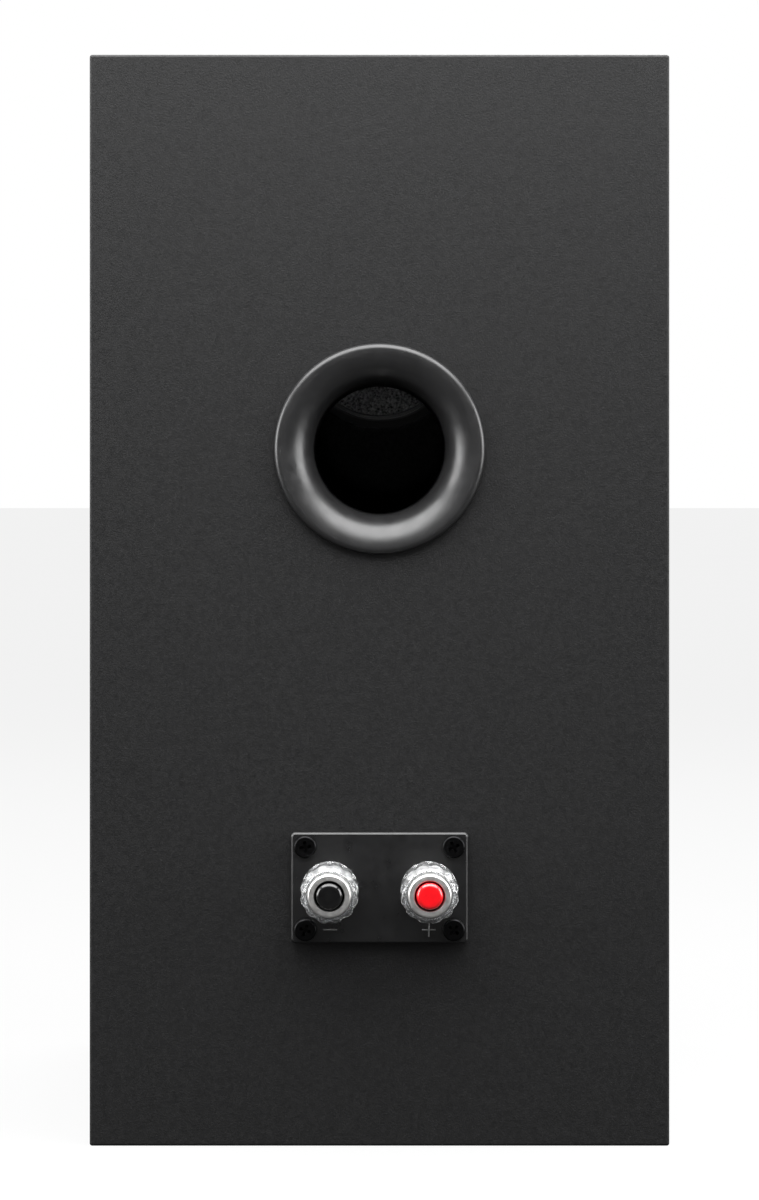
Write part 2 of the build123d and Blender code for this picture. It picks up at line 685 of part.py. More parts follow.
def tweeter_dome():
    """Dome shell with a short rim that its coil hangs from."""
    thick = 0.35

    def arc(radius, top):
        height = DOME_BASE - top
        curve = (radius**2 + height**2) / (2 * height)
        middle = radius / 2
        return (middle, top + curve - sqrt(curve**2 - middle**2))

    inner_r, inner_top = DOME_R - thick, DOME_TOP + thick
    profile = make_face(
        [
            ThreePointArc((0, DOME_TOP), arc(DOME_R, DOME_TOP), (DOME_R, DOME_BASE)),
            Polyline(
                (DOME_R, DOME_BASE), (DOME_R, DOME_BASE + 0.4),
                (inner_r, DOME_BASE + 0.4), (inner_r, DOME_BASE),
            ),
            ThreePointArc((inner_r, DOME_BASE), arc(inner_r, inner_top), (0, inner_top)),
            Line((0, inner_top), (0, DOME_TOP)),
        ]
    )
    return spun(profile, FRONT_Y, 0, TWEETER_Z)


def tweeter_surround():
    """Small half-roll between the dome and the faceplate."""
    roll = half_roll(14.3, DOME_BASE + 0.4, 1.6, 1.25)
    landing = Pos((15.6 + 19.8) / 2, DOME_BASE + 0.2) * Rectangle(19.8 - 15.6, 0.4)
    return spun(roll + landing, FRONT_Y, 0, TWEETER_Z)


def tweeter_voice_coil():
    """Former and winding under the dome."""
    coil = outline((12.35, 9.0), (12.6, 9.0), (12.6, 9.6), (13.1, 9.6), (13.1, 12.6), (12.35, 12.6))
    return spun(coil, FRONT_Y, 0, TWEETER_Z)


def tweeter_motor():
    """Top plate, ferrite ring, back plate with its pole, and the felt pad on its back."""
    y, z, back = FRONT_Y, TWEETER_Z, TWEETER_BACK
    yield "tweeter_top_plate", ring(13.7, 26.5, 9.0, 12.0, y, 0, z)
    yield "tweeter_magnet", ring(14.6, TWEETER_MAGNET_R, 12.0, 20.0, y, 0, z)
    pole = outline((0, 9.2), (12.0, 9.2), (12.0, 20.0), (26.0, 20.0), (26.0, back), (0, back))
    yield "tweeter_back_plate", spun(pole, y, 0, z)
    pad = outline((0, back), (26.6, back), (TWEETER_MAGNET_R, back + 0.6), (TWEETER_MAGNET_R, back + 3.2),
                  (26.2, back + 4.0), (0, back + 4.0))
    yield "tweeter_felt_pad", spun(pad, y, 0, z)


# ---------------------------------------------------------------- driver tabs
WOOFER_TAB_X, WOOFER_TABS_Z = -50.0, {"plus": 116.0, "minus": 104.0}
WOOFER_TAB_END = 47.0
TWEETER_TAB_X, TWEETER_TABS_Z = 31.0, {"plus": 260.0, "minus": 248.0}
TWEETER_TAB_END = 33.0


def blades(x, depths, heights):
    """Push-on blades at these heights, between two depths behind the baffle's face."""
    across = (x - 0.4, x + 0.4)
    along = (FRONT_Y + depths[0], FRONT_Y + depths[1])
    return [block(across, along, (z - 2.4, z + 2.4)) for z in heights]


def driver_tabs(basket, plate):
    """A fibre strip with two push-on blades on each driver."""
    x = WOOFER_TAB_X
    strip = block((x - 4, x + 6), (FRONT_Y + 34.5, FRONT_Y + 36.8), (98, 122)) - basket
    for blade in blades(x, (36.8, WOOFER_TAB_END), WOOFER_TABS_Z.values()):
        strip += blade
    x = TWEETER_TAB_X
    small = block((24.0, x + 3), (FRONT_Y + 20.4, FRONT_Y + 22.6), (TWEETER_Z - 10, TWEETER_Z + 10))
    small -= plate
    for blade in blades(x, (22.6, TWEETER_TAB_END), TWEETER_TABS_Z.values()):
        small += blade
    return [max(s.solids(), key=lambda piece: piece.volume) for s in (strip, small)]


# ---------------------------------------------------------------- crossover
def crossover_board():
    """Printed board that carries the filter."""
    board = Pos(0, BOARD_CENTRE_Y, BOARD_BOTTOM + BOARD_SIZE[2] / 2) * Box(*BOARD_SIZE)
    board = fillet(board.edges().filter_by(Axis.Z), 2)
    for x, y in BOARD_HOLES:
        board -= Pos(x, BOARD_CENTRE_Y + y, BOARD_BOTTOM) * Cylinder(1.8, 10)
    return board


def crossover_spacers():
    """Four tubular spacers under the board."""
    for x, y in BOARD_HOLES:
        tube = Cylinder(4, SPACER_HEIGHT) - Cylinder(1.8, SPACER_HEIGHT + 1)
        yield Pos(x, BOARD_CENTRE_Y + y, FLOOR_Z + SPACER_HEIGHT / 2) * tube


def crossover_screws():
    """Four screws through the board and spacers into the bottom panel."""
    upright = Rot(90, 0, 0)
    return [
        Pos(x, BOARD_CENTRE_Y + y, BOARD_TOP) * upright * pan_screw(3.2, 2.0, 1.6, 16.0, 31 * i)
        for i, (x, y) in enumerate(BOARD_HOLES)
    ]


def inductor_windings():
    """An air-core coil and a coil on a ferrite bobbin, both wound upright."""
    air = Pos(-28, 0.5, BOARD_TOP + 8) * (Cylinder(17, 16) - Cylinder(7, 17))
    cored = Pos(26, 8, BOARD_TOP + 13) * (Cylinder(13.5, 20) - Cylinder(6.0, 21))
    return [
        fillet(coil.edges().filter_by(GeomType.CIRCLE).sort_by(SortBy.RADIUS)[-2:], 2)
        for coil in (air, cored)
    ]


def inductor_core():
    """Ferrite bobbin of the second coil."""
    bobbin = Cylinder(6.0, 20)
    for side in (1, -1):
        bobbin += Pos(0, 0, side * 11.5) * Cylinder(14.5, 3)
    return Pos(26, 8, BOARD_TOP + 13) * bobbin


def film_capacitors():
    """Two axial film capacitors lying on the board."""
    for y, r, length in ((-25.0, 8.0, 30.0), (25.0, 6.5, 26.0)):
        body = fillet(Cylinder(r, length).edges(), 1.2)
        yield Pos(-27, y, BOARD_TOP + r) * Rot(0, 90, 0) * body


def electrolytic_capacitor():
    """Axial electrolytic capacitor."""
    body = fillet(Cylinder(6.5, 28).edges(), 1.0)
    return Pos(2, -18, BOARD_TOP + 6.5) * Rot(90, 0, 0) * body


def resistors():
    """Two square ceramic power resistors."""
    for y in (-14.0, -24.0):
        body = Box(22, 7, 7)
        yield Pos(28, y, BOARD_TOP + 3.5) * fillet(body.edges().filter_by(Axis.X), 0.8)


# ---------------------------------------------------------------- leads
BOARD_EDGE_Y = BOARD_CENTRE_Y - BOARD_SIZE[1] / 2 + 4
TAG_Y = PLATE_Y + TAG_END
TAG_Z = PLATE_Z - TAG_DROP - 0.4
LEADS_RED = [
    [(-15.1, TAG_Y, TAG_Z), (-15.1, 67, TAG_Z), (-13, 54, 67), (-10, 42, 56),
     (-9, 34, 40), (-9, 34, BOARD_TOP)],
    [(-18, BOARD_EDGE_Y, BOARD_TOP), (-18, BOARD_EDGE_Y, 38), (-27, -40, 54), (-40, -44, 72),
     (-48, -48, 92), (-51, -54, 109), (-50, -67, 116), (-50, FRONT_Y + WOOFER_TAB_END, 116)],
    [(20, BOARD_EDGE_Y, BOARD_TOP), (20, BOARD_EDGE_Y, 42), (30, -38, 66), (37, -39, 94),
     (39, -40, 126), (37, -41, 158), (38, -42, 190), (36, -44, 218), (34, -50, 243),
     (31, -71, 260), (31, FRONT_Y + TWEETER_TAB_END, 260)],
]
LEADS_BLACK = [
    [(15.1, TAG_Y, TAG_Z), (15.1, 68, TAG_Z), (14, 55, 68), (12, 44, 58),
     (9, 34, 42), (9, 34, BOARD_TOP)],
    [(-8, BOARD_EDGE_Y, BOARD_TOP), (-8, BOARD_EDGE_Y, 36), (-17, -43, 50), (-30, -50, 64),
     (-42, -56, 79), (-49, -60, 93), (-50, -68, 104), (-50, FRONT_Y + WOOFER_TAB_END, 104)],
    [(36, BOARD_EDGE_Y, BOARD_TOP), (36, BOARD_EDGE_Y, 42), (43, -33, 64), (46, -31, 92),
     (45, -32, 124), (46, -33, 156), (44, -35, 186), (42, -40, 212), (37, -52, 234),
     (31, -73, 248), (31, FRONT_Y + TWEETER_TAB_END, 248)],
]


def lead(points):
    """An insulated lead: straight runs joined by tangent arcs as large as the runs allow."""
    path = [Vector(*p) for p in points]
    radii = []
    for before, here, after in zip(path, path[1:], path[2:]):
        into, out = here - before, after - here
        half_turn = radians(into.get_angle(out)) / 2
        radii.append(0.45 * min(into.length, out.length) / tan(half_turn))
    line = FilletPolyline(*path, radius=radii)
    start = Plane(origin=path[0], z_dir=path[1] - path[0])
    return sweep(start * Circle(LEAD_R), path=line)


# ---------------------------------------------------------------- all the pieces
def main():
    whole = cabinet_block()
    for name, panel in wrap_panels(whole):
        write(name, panel)
    write("rear_panel", rear_panel(whole))
    write("front_baffle", front_baffle(whole))
    write("window_brace", window_brace())
    write("grille_peg_sockets", *grille_sockets())
    write("wall_wadding", *wall_wadding())

    write("port_flare", port_flare())
    write("port_tube", port_tube())
    write("port_gasket", port_gasket())

    write("terminal_plate", terminal_plate())
    write("terminal_gasket", terminal_gasket())
    write("terminal_screws", *terminal_screws())
    write("post_bushes", *post_bushes())
    write("post_inner_washers", *post_inner_washers())
    write("post_nuts", *post_nuts())
    write("solder_tags", *solder_tags())
    for side, x in POSTS.items():
        write(f"{side}_post_stud", post_stud(x))
        write(f"{side}_clamp_washer", clamp_washer(x))
        write(f"{side}_cap_core", cap_core(x))
        write(f"{side}_cap_jacket", cap_jacket(x))
        write(f"{side}_stopper", stopper(x))

    basket = woofer_basket()
    write("woofer_basket", basket)
    write("woofer_gasket", woofer_gasket())
    write("woofer_screws", *woofer_screws())
    write("woofer_surround", woofer_surround())
    write("woofer_cone", woofer_cone())
    write("woofer_dust_cap", woofer_dust_cap())
    write("woofer_voice_coil", woofer_voice_coil())
    write("woofer_spider", woofer_spider())
    for name, piece in woofer_motor():
        write(name, piece)

    write("tweeter_faceplate", tweeter_faceplate())
    write("tweeter_screws", *tweeter_screws())
    write("tweeter_dome", tweeter_dome())
    write("tweeter_surround", tweeter_surround())
    write("tweeter_voice_coil", tweeter_voice_coil())
    motor = dict(tweeter_motor())
    for name, piece in motor.items():
        write(name, piece)
    write("driver_tabs", *driver_tabs(basket, motor["tweeter_back_plate"]))

    write("crossover_board", crossover_board())
    write("crossover_spacers", *crossover_spacers())
    write("crossover_screws", *crossover_screws())
    write("inductor_windings", *inductor_windings())
    write("inductor_core", inductor_core())
    write("film_capacitors", *film_capacitors())
    write("electrolytic_capacitor", electrolytic_capacitor())
    write("resistors", *resistors())
    write("leads_red", *[lead(points) for points in LEADS_RED])
    write("leads_black", *[lead(points) for points in LEADS_BLACK])


main()
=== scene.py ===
"""Looks of a compact two-way bookshelf speaker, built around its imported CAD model.

Everything is in metres in the CAD's frame: +Z is up, the front baffle faces -Y and the
terminals face +Y. Places and sizes are read from the CAD nodes' boxes.
"""

import json
from math import cos, pi, radians, sin

import bmesh
import bpy
import numpy as np
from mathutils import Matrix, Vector, noise


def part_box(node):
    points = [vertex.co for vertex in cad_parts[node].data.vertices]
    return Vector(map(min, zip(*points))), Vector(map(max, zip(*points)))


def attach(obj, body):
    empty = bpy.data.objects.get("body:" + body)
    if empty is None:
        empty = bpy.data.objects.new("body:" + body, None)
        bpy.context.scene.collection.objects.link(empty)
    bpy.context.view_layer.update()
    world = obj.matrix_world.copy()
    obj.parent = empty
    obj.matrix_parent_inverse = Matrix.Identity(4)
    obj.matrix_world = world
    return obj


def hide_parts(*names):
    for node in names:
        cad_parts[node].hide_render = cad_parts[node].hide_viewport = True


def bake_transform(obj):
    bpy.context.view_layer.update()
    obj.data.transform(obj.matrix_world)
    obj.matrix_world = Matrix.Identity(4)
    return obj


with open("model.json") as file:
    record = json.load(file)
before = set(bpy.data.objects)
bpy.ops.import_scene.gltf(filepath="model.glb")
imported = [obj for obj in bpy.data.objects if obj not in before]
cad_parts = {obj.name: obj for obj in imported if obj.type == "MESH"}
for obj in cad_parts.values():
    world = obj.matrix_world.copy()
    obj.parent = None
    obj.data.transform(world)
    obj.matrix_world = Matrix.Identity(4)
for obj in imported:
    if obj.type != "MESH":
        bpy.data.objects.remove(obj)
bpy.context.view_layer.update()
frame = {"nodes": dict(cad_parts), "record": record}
MM = 0.001

# ---------------------------------------------------------------- places read from the CAD


def centre_of(node):
    """Middle of a node's box."""
    low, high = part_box(node)
    return (Vector(low) + Vector(high)) / 2


def radius_of(node):
    """Half the width of a node's box along X."""
    low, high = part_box(node)
    return (high[0] - low[0]) / 2


REAR_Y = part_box("rear_panel")[1][1]
FRONT_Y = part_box("front_baffle")[0][1]
JACKET_START = 5.7            # the cap jacket's rear face, out from the terminal plate
PLATE_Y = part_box("plus_cap_jacket")[0][1] - JACKET_START * MM
PORT = centre_of("port_flare")
WOOFER = centre_of("woofer_basket")
TWEETER = centre_of("tweeter_faceplate")
POSTS = {side: centre_of(f"{side}_cap_jacket") for side in ("minus", "plus")}

# ---------------------------------------------------------------- camera and studio
CAMERA_DISTANCE = 1.2         # from the rear panel
CAMERA_HEIGHT = 0.2075
SENSOR = 36.0
VIEW_HEIGHT = 0.3683          # the height of the view at the rear panel
VIEW_CENTRE = 0.1676          # the height above the floor at the middle of the view


def make_camera():
    """A level camera straight behind the cabinet, with a vertical shift for the framing."""
    data = bpy.data.cameras.new("camera")
    data.sensor_fit = "VERTICAL"
    data.sensor_height = SENSOR
    data.lens = SENSOR * CAMERA_DISTANCE / VIEW_HEIGHT
    data.shift_y = (VIEW_CENTRE - CAMERA_HEIGHT) / VIEW_HEIGHT
    camera = bpy.data.objects.new("camera", data)
    camera.location = (0, REAR_Y + CAMERA_DISTANCE, CAMERA_HEIGHT)
    camera.rotation_euler = (radians(90), 0, radians(180))
    bpy.context.scene.collection.objects.link(camera)
    bpy.context.scene.camera = camera


ABOVE_Y = REAR_Y + 0.22       # the main softbox hangs over a line in front of the terminals
REAR_MIDDLE = (0, REAR_Y, 0.2)
FRONT_MIDDLE = (0, FRONT_Y, 0.15)
SOFTBOXES = (                 # name, place, the point it faces, width and height, brightness
    ("overhead", (0, ABOVE_Y, 0.68), (0, ABOVE_Y - 0.02, 0), (1.1, 0.72), 10.5),
    ("overhead_far", (0, REAR_Y + 0.86, 0.80), REAR_MIDDLE, (1.0, 0.3), 4.5),
    ("side_1", (0.9, REAR_Y + 0.2, 0.38), REAR_MIDDLE, (0.62, 0.6), 10.5),
    ("side_-1", (-0.9, REAR_Y + 0.2, 0.38), REAR_MIDDLE, (0.62, 0.6), 10.5),
    ("camera_side", (0, REAR_Y + 2.6, 0.55), REAR_MIDDLE, (2.4, 1.4), 0.17),
    ("front_key", (-0.5, FRONT_Y - 0.9, 1.1), FRONT_MIDDLE, (1.1, 0.6), 11.0),
    ("front_fill", (1.0, FRONT_Y - 0.9, 0.5), FRONT_MIDDLE, (0.5, 1.0), 5.0),
)
BEAM_PLACE = (0.02, REAR_Y + 1.9, 0.14)
BEAM_SPREAD = 1.7             # degrees, so that the beam just fills the port
BEAM_POWER = 4.6
BEAM_BLEND = 0.3
BEAM_LAMP_R = 0.02

WORLD_LIGHT = 0.05            # what the object is lit by
WORLD_SEEN = 1.0              # what the camera sees past the floor
FLOOR_SEEN = 0.88             # the floor's own paleness to the camera
FLOOR_SIZE = 40.0
FLOOR_ALBEDO = 0.03


def aim(data, place, target):
    """Puts a light at a place, facing a point."""
    light = bpy.data.objects.new(data.name, data)
    light.location = place
    light.rotation_euler = (Vector(target) - Vector(place)).to_track_quat("-Z", "Y").to_euler()
    bpy.context.scene.collection.objects.link(light)


def make_lights():
    """Softboxes round the rear, one behind the camera, two at the front, and a beam into the port."""
    for name, place, target, (width, height), radiance in SOFTBOXES:
        data = bpy.data.lights.new(name, "AREA")
        data.shape = "RECTANGLE"
        data.size, data.size_y = width, height
        data.energy = radiance * pi * width * height
        aim(data, place, target)
    beam = bpy.data.lights.new("port_beam", "SPOT")
    beam.spot_size = radians(BEAM_SPREAD)
    beam.spot_blend = BEAM_BLEND
    beam.shadow_soft_size = BEAM_LAMP_R
    beam.energy = BEAM_POWER
    aim(beam, BEAM_PLACE, (PORT.x, REAR_Y, PORT.z))


def camera_ray(tree, low, high):
    """A strength of low for the light that reaches the object and high for what the camera sees."""
    strength = tree.nodes.new("ShaderNodeMapRange")
    strength.inputs["To Min"].default_value = low
    strength.inputs["To Max"].default_value = high
    path = tree.nodes.new("ShaderNodeLightPath")
    tree.links.new(path.outputs["Is Camera Ray"], strength.inputs["Value"])
    return strength.outputs["Result"]


def make_world():
    """Dim even light for the object, and a plain white backdrop."""
    scene = bpy.context.scene
    scene.world = bpy.data.worlds.new("studio")
    scene.view_settings.view_transform = "Standard"
    scene.world.use_nodes = True
    tree = scene.world.node_tree
    background = tree.nodes["Background"]
    background.inputs["Color"].default_value = (1, 1, 1, 1)
    tree.links.new(camera_ray(tree, WORLD_LIGHT, WORLD_SEEN), background.inputs["Strength"])


def make_floor():
    """A large plain floor that looks pale but throws little light back on the object."""
    mesh = bpy.data.meshes.new("floor")
    half = FLOOR_SIZE / 2
    corners = [(-half, -half, 0), (half, -half, 0), (half, half, 0), (-half, half, 0)]
    mesh.from_pydata(corners, [], [(0, 1, 2, 3)])
    floor = bpy.data.objects.new("floor", mesh)
    bpy.context.scene.collection.objects.link(floor)
    look = Look("floor_paint")
    look.paint((FLOOR_ALBEDO,) * 3, 0.02, 3.0)
    look.roughness(0.8, 0.05, 4.0)
    look.set(emission_color=(1, 1, 1, 1), specular_ior_level=0.1)
    seen = camera_ray(look.tree, 0.0, FLOOR_SEEN)
    look.link(seen, look.shader.inputs["Emission Strength"])
    mesh.materials.append(look.material)


# ---------------------------------------------------------------- materials
class Look:
    """A procedural material that is built up from a colour, a roughness and layers of relief."""

    def __init__(self, name):
        self.material = bpy.data.materials.new(name)
        self.material.use_nodes = True
        self.tree = self.material.node_tree
        self.shader = self.tree.nodes["Principled BSDF"]
        self.place = self.tree.nodes.new("ShaderNodeTexCoord").outputs["Object"]
        self.normal = None

    def node(self, kind, **settings):
        """A node with its settings, or its sockets' values, given by name."""
        made = self.tree.nodes.new("ShaderNode" + kind)
        for key, value in settings.items():
            if hasattr(made, key):
                setattr(made, key, value)
            else:
                made.inputs[key.replace("_", " ").title()].default_value = value
        return made

    def link(self, source, target):
        self.tree.links.new(source, target)

    def set(self, **values):
        """Constant values on the shader's own sockets."""
        for key, value in values.items():
            socket = key.replace("_", " ").title().replace("Ior", "IOR")
            self.shader.inputs[socket].default_value = value
        return self

    def stretched(self, scale):
        """The object's coordinates, scaled apart along X, Y and Z."""
        mapping = self.node("Mapping")
        mapping.inputs["Scale"].default_value = scale
        self.link(self.place, mapping.inputs["Vector"])
        return mapping.outputs["Vector"]

    def noise(self, scale, detail=3.0, stretch=None):
        """Noise with features of 1/scale metres."""
        texture = self.node("TexNoise", scale=scale, detail=detail)
        self.link(self.stretched(stretch) if stretch else self.place, texture.inputs["Vector"])
        return texture.outputs["Fac"]

    def cells(self, scale, feature="F1"):
        """Rounded cells 1/scale metres apart."""
        texture = self.node("TexVoronoi", scale=scale, feature=feature)
        self.link(self.place, texture.inputs["Vector"])
        return texture.outputs["Distance"]

    def spread(self, value, low, high):
        """A 0 to 1 value, mapped to low to high with its middle stretched."""
        ranged = self.node("MapRange")
        ranged.inputs["From Min"].default_value = 0.3
        ranged.inputs["From Max"].default_value = 0.7
        ranged.inputs["To Min"].default_value = low
        ranged.inputs["To Max"].default_value = high
        self.link(value, ranged.inputs["Value"])
        return ranged.outputs["Result"]

    def paint(self, colour, change, scale, other=None, stretch=None):
        """Base colour that drifts between two close tones, or from one colour to another."""
        tones = self.node("Mix", data_type="RGBA")
        light = other or tuple(min(1.0, c * (1 + change)) for c in colour)
        dark = colour if other else tuple(c * (1 - change) for c in colour)
        tones.inputs["A"].default_value = (*dark, 1)
        tones.inputs["B"].default_value = (*light, 1)
        factor = self.spread(self.noise(scale, stretch=stretch), 0.0, 1.0)
        self.link(factor, tones.inputs["Factor"])
        self.link(tones.outputs["Result"], self.shader.inputs["Base Color"])
        return self

    def roughness(self, middle, change, scale):
        """Roughness that varies a little over the surface."""
        value = self.spread(self.noise(scale), middle - change, middle + change)
        self.link(value, self.shader.inputs["Roughness"])
        return self

    def relief(self, height, depth, strength=1.0):
        """One more layer of bump, of a real depth in metres."""
        bump = self.node("Bump")
        bump.inputs["Distance"].default_value = depth
        bump.inputs["Strength"].default_value = strength
        self.link(height, bump.inputs["Height"])
        if self.normal:
            self.link(self.normal, bump.inputs["Normal"])
        self.normal = bump.outputs["Normal"]
        self.link(self.normal, self.shader.inputs["Normal"])
        return self

    def weave(self, pitch):
        """Height of a plain weave: two crossed sets of threads."""
        both = self.node("Math", operation="MULTIPLY")
        for socket, direction in zip(both.inputs, ("X", "Z")):
            wave = self.node("TexWave", wave_type="BANDS", bands_direction=direction)
            wave.inputs["Scale"].default_value = 1 / (pi * pitch)
            self.link(self.place, wave.inputs["Vector"])
            self.link(wave.outputs["Fac"], socket)
        return both.outputs["Value"]


def vinyl():
    """Black vinyl wrap with a fine pebble grain."""
    look = Look("vinyl_black")
    look.set(specular_ior_level=0.25)
    look.paint((0.0056, 0.0056, 0.0058), 0.45, 2600)
    look.roughness(0.52, 0.08, 900)
    look.relief(look.noise(2400, 2.0), 0.00006, 0.8)
    look.relief(look.cells(1500), 0.00004, 0.6)
    return look


def moulding(name, colour, rough, grain=3000, depth=0.00001, contrast=0.12):
    """Moulded plastic: even colour, faint drift, fine spark-eroded grain."""
    look = Look(name)
    look.paint(colour, contrast, 1200)
    look.roughness(rough, 0.05, 300)
    look.relief(look.noise(grain, 2.0), depth)
    return look


# Painted highlight: this light grey stands in for the light caught by the raised polarity marks.
MARK_HIGHLIGHT_GREY = (0.11, 0.11, 0.11)
MARK_HIGHLIGHT_START = PLATE_Y + 0.05 * MM


def plate_with_painted_mark_highlight():
    """The terminal plate's plastic, with a painted highlight: light grey on whatever stands proud of
    its face, for the light that the raised polarity marks catch.
    """
    look = moulding("plate_plastic", (0.0044, 0.0044, 0.0046), 0.32)
    split = look.node("SeparateXYZ")
    look.link(look.place, split.inputs["Vector"])
    proud = look.node("Math", operation="GREATER_THAN")
    look.link(split.outputs["Y"], proud.inputs[0])
    proud.inputs[1].default_value = MARK_HIGHLIGHT_START
    # the painted highlight is mixed in wherever the marks stand proud of the face
    highlighted_marks = look.node("Mix", data_type="RGBA")
    highlighted_marks.inputs["B"].default_value = (*MARK_HIGHLIGHT_GREY, 1)
    plain = look.shader.inputs["Base Color"].links[0].from_socket
    look.link(proud.outputs["Value"], highlighted_marks.inputs["Factor"])
    look.link(plain, highlighted_marks.inputs["A"])
    look.link(highlighted_marks.outputs["Result"], look.shader.inputs["Base Color"])
    return look


def metal(name, colour, rough, depth=0.000004):
    """Metal with fine, faint marks."""
    grain = 900
    look = Look(name)
    look.set(metallic=1.0)
    look.paint(colour, 0.06, grain)
    look.roughness(rough, 0.07, grain)
    look.relief(look.noise(grain, 2.0), depth)
    return look


def felt(name, dark, light, scale=900):
    """Matted fibres: strong speckle and a rough, sheeny surface."""
    look = Look(name)
    look.set(sheen_weight=0.3, sheen_roughness=0.6, specular_ior_level=0.1)
    look.paint(dark, 0, scale, other=light)
    look.roughness(0.9, 0.05, 500)
    look.relief(look.noise(scale, 4.0), 0.0004)
    look.relief(look.noise(scale / 3, 3.0, (1, 1, 3)), 0.0003)
    return look


def clear():
    """Clear acrylic with a faintly milky, polished surface."""
    look = Look("clear_plastic")
    look.set(transmission_weight=0.94, ior=1.49)
    look.paint((0.90, 0.91, 0.92), 0.04, 400)
    look.roughness(0.06, 0.02, 300)
    look.relief(look.noise(300, 2.0), 0.000004)
    return look


def windings():
    """Enamelled copper wire, wound in close turns."""
    look = Look("copper_wire")
    look.set(metallic=1.0)
    look.paint((0.60, 0.22, 0.10), 0.25, 700)
    look.roughness(0.32, 0.08, 900)
    wave = look.node("TexWave", wave_type="BANDS", bands_direction="Z", scale=180.0,
                     distortion=0.6)
    look.link(look.place, wave.inputs["Vector"])
    look.relief(wave.outputs["Fac"], 0.0002)
    return look


def cloth(name, colour, pitch):
    """Woven cloth with its threads in relief."""
    look = Look(name)
    look.set(sheen_weight=0.25, specular_ior_level=0.25)
    look.paint(colour, 0.25, 1500)
    look.roughness(0.7, 0.1, 900)
    look.relief(look.weave(pitch), pitch / 6)
    return look


def pulp():
    """Coated paper pulp with fine fibres."""
    look = Look("cone_pulp")
    look.set(specular_ior_level=0.4)
    look.paint((0.016, 0.016, 0.0175), 0.35, 500, stretch=(1, 1, 5))
    look.roughness(0.5, 0.08, 250)
    look.relief(look.noise(420, 5.0, (1, 1, 5)), 0.00012)
    look.relief(look.noise(420, 5.0, (5, 1, 1)), 0.00010)
    return look


def wood():
    """Bare fibreboard."""
    look = Look("mdf_raw")
    look.paint((0.36, 0.24, 0.14), 0.2, 800, stretch=(1, 1, 4))
    look.roughness(0.8, 0.08, 400)
    look.relief(look.noise(1800, 3.0), 0.00006)
    return look


def powder_coat():
    """Satin powder coat with orange peel."""
    look = Look("basket_black")
    look.set(specular_ior_level=0.5)
    look.paint((0.012, 0.012, 0.0125), 0.2, 900)
    look.roughness(0.38, 0.05, 300)
    look.relief(look.cells(1100, "SMOOTH_F1"), 0.00004)
    return look


def board():
    """Solder mask over copper tracks."""
    look = Look("board_fibre")
    look.paint((0.015, 0.10, 0.035), 0, 90, other=(0.02, 0.17, 0.06))
    look.roughness(0.3, 0.08, 200)
    look.relief(look.noise(90, 0.0), 0.00005)
    return look


def stopper(name, colour, gloss, contrast=0.12):
    """Polished plastic."""
    look = moulding(name, colour, 0.2, 1200, 0.000002, contrast)
    return look.set(specular_ior_level=gloss)


def make_looks():
    """One look for each of the record's material slots."""
    looks = {
        "vinyl_black": vinyl(),
        "mdf_raw": wood(),
        # felt_dark: near-black felt, its darkness painted shade for the unlit inside of the cabinet
        "felt_dark": felt("felt_dark", (0.008, 0.008, 0.009), (0.03, 0.03, 0.033)),
        "felt_grey": felt("felt_grey", (0.01, 0.01, 0.01), (0.75, 0.75, 0.75), 1300),
        "port_plastic": moulding("port_plastic", (0.0080, 0.0080, 0.0083), 0.34, 1500, 0.000003),
        "foam_seal": felt("foam_seal", (0.01, 0.01, 0.01), (0.03, 0.03, 0.03), 1500),
        "plate_plastic": plate_with_painted_mark_highlight(),
        "screw_black": metal("screw_black", (0.012, 0.012, 0.0125), 0.33),
        "screw_zinc": metal("screw_zinc", (0.55, 0.56, 0.55), 0.3),
        "bush_plastic": moulding("bush_plastic", (0.014, 0.014, 0.015), 0.4),
        "post_nickel": metal("post_nickel", (0.68, 0.675, 0.66), 0.38, depth=0.000001),
        "clear_plastic": clear(),
        "stopper_black": stopper("stopper_black", (0.0014, 0.0014, 0.0015), 0.6),
        "stopper_red": stopper("stopper_red", (0.58, 0.001, 0.005), 0.9, 0.05),
        "tag_brass": metal("tag_brass", (0.70, 0.62, 0.45), 0.3),
        "copper_wire": windings(),
        "ferrite": moulding("ferrite", (0.035, 0.035, 0.038), 0.6, 1500, 0.00004, 0.25),
        "board_fibre": board(),
        "spacer_nylon": moulding("spacer_nylon", (0.70, 0.68, 0.62), 0.5),
        "film_yellow": moulding("film_yellow", (0.60, 0.40, 0.07), 0.3),
        "can_black": moulding("can_black", (0.015, 0.015, 0.02), 0.35),
        "resistor_white": moulding("resistor_white", (0.75, 0.73, 0.68), 0.8, 1200, 0.00005),
        "basket_black": powder_coat(),
        "surround_rubber": moulding(
            "surround_rubber", (0.010, 0.010, 0.0105), 0.55, 1600, 0.000015),
        "cone_pulp": pulp(),
        "dust_cap_black": moulding("dust_cap_black", (0.010, 0.010, 0.011), 0.3, 1400, 0.000006),
        "spider_cloth": cloth("spider_cloth", (0.50, 0.33, 0.12), 0.0006),
        "plate_steel": metal("plate_steel", (0.50, 0.50, 0.48), 0.35),
        "faceplate_plastic": moulding(
            "faceplate_plastic", (0.013, 0.013, 0.0135), 0.42, 2000, 0.00002),
        "dome_silk": cloth("dome_silk", (0.018, 0.018, 0.021), 0.0004),
        "strip_fibre": moulding("strip_fibre", (0.25, 0.13, 0.06), 0.6),
        "lead_red": moulding("lead_red", (0.45, 0.01, 0.01), 0.45),
        "lead_black": moulding("lead_black", (0.012, 0.012, 0.012), 0.45),
    }
    return {slot: look.material for slot, look in looks.items()}


